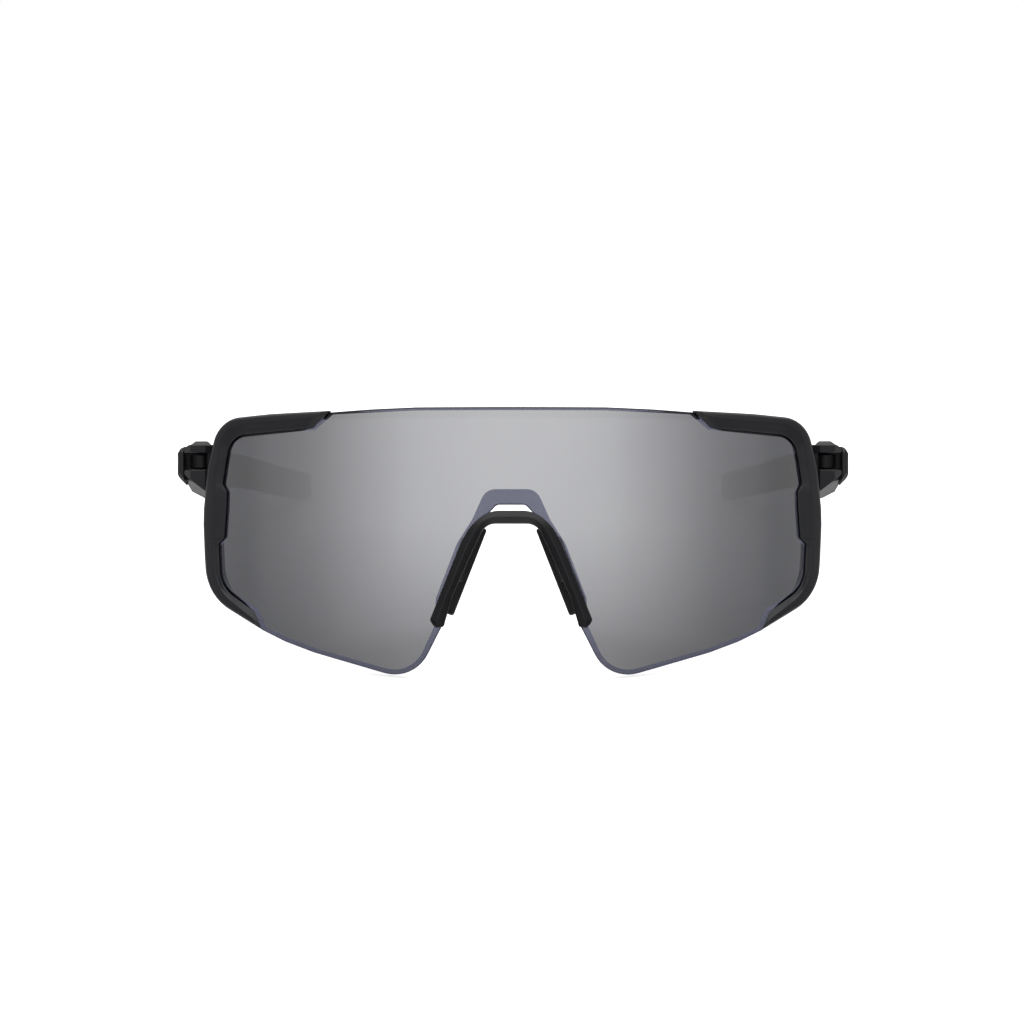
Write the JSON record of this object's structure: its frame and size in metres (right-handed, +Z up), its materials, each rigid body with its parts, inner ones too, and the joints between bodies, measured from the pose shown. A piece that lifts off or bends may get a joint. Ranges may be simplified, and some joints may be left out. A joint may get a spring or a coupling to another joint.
{
  "type": "wraparound sport sunglasses",
  "caption": "Wraparound sport sunglasses: a mirrored one-piece shield lens in a moulded frame, with a clip-on nose bridge, tilting pads and folding temples with rubber tips.",
  "frame": {"origin": "centre of the overall box in X and Y, on the surface the glasses rest on, with the temples open", "axes": "+X to the wearer's left, +Y from the lens towards the ears, +Z up; the glasses stand on the lens lobes and the temple tips, tipped back 14.2 degrees from the worn attitude"},
  "size_m": [0.1502, 0.1626, 0.0565],
  "materials": {
    "frame_plastic": "satin black moulded nylon with a fine texture",
    "bridge_plastic": "satin black moulded nylon",
    "mirror_lens": "grey polycarbonate with a silver mirror coating and a violet-grey uncoated border",
    "grip_rubber": "matt black moulded rubber",
    "badge_plastic": "plain pale grey inlay, blank",
    "steel": "bright turned steel",
    "brass": "turned brass",
    "acetal": "natural acetal"
  },
  "bodies": {
    "front": {"frame": "frame_plastic", "lens": "mirror_lens", "nose_bridge": "bridge_plastic", "left_pad_pivot_pin": "steel", "left_hinge_screw": "steel", "left_hinge_insert": "brass", "right_pad_pivot_pin": "steel", "right_hinge_screw": "steel", "right_hinge_insert": "brass"},
    "left_temple": {"left_temple_arm": "frame_plastic", "left_temple_badge": "badge_plastic", "left_temple_grip": "grip_rubber", "left_temple_core_wire": "steel", "left_hinge_bushing": "acetal"},
    "left_pad": {"left_nose_pad": "grip_rubber"},
    "right_temple": {"right_temple_arm": "frame_plastic", "right_temple_badge": "badge_plastic", "right_temple_grip": "grip_rubber", "right_temple_core_wire": "steel", "right_hinge_bushing": "acetal"},
    "right_pad": {"right_nose_pad": "grip_rubber"}
  },
  "joints": [
    {"name": "left_temple_fold", "type": "hinge", "parent": "front", "child": "left_temple", "pos_m": [0.0695, -0.03245, 0.03531], "axis": [0, 0.2462, 0.9692], "range_deg": [0, 86]},
    {"name": "right_temple_fold", "type": "hinge", "parent": "front", "child": "right_temple", "pos_m": [-0.0695, -0.03245, 0.03531], "axis": [0, -0.2462, -0.9692], "range_deg": [0, 79]},
    {"name": "left_pad_tilt", "type": "hinge", "parent": "front", "child": "left_pad", "pos_m": [0.011, -0.07168, 0.02102], "axis": [0, 0.9692, -0.2462], "range_deg": [-6, 6]},
    {"name": "right_pad_tilt", "type": "hinge", "parent": "front", "child": "right_pad", "pos_m": [-0.011, -0.07168, 0.02102], "axis": [0, -0.9692, 0.2462], "range_deg": [-6, 6]}
  ]
}
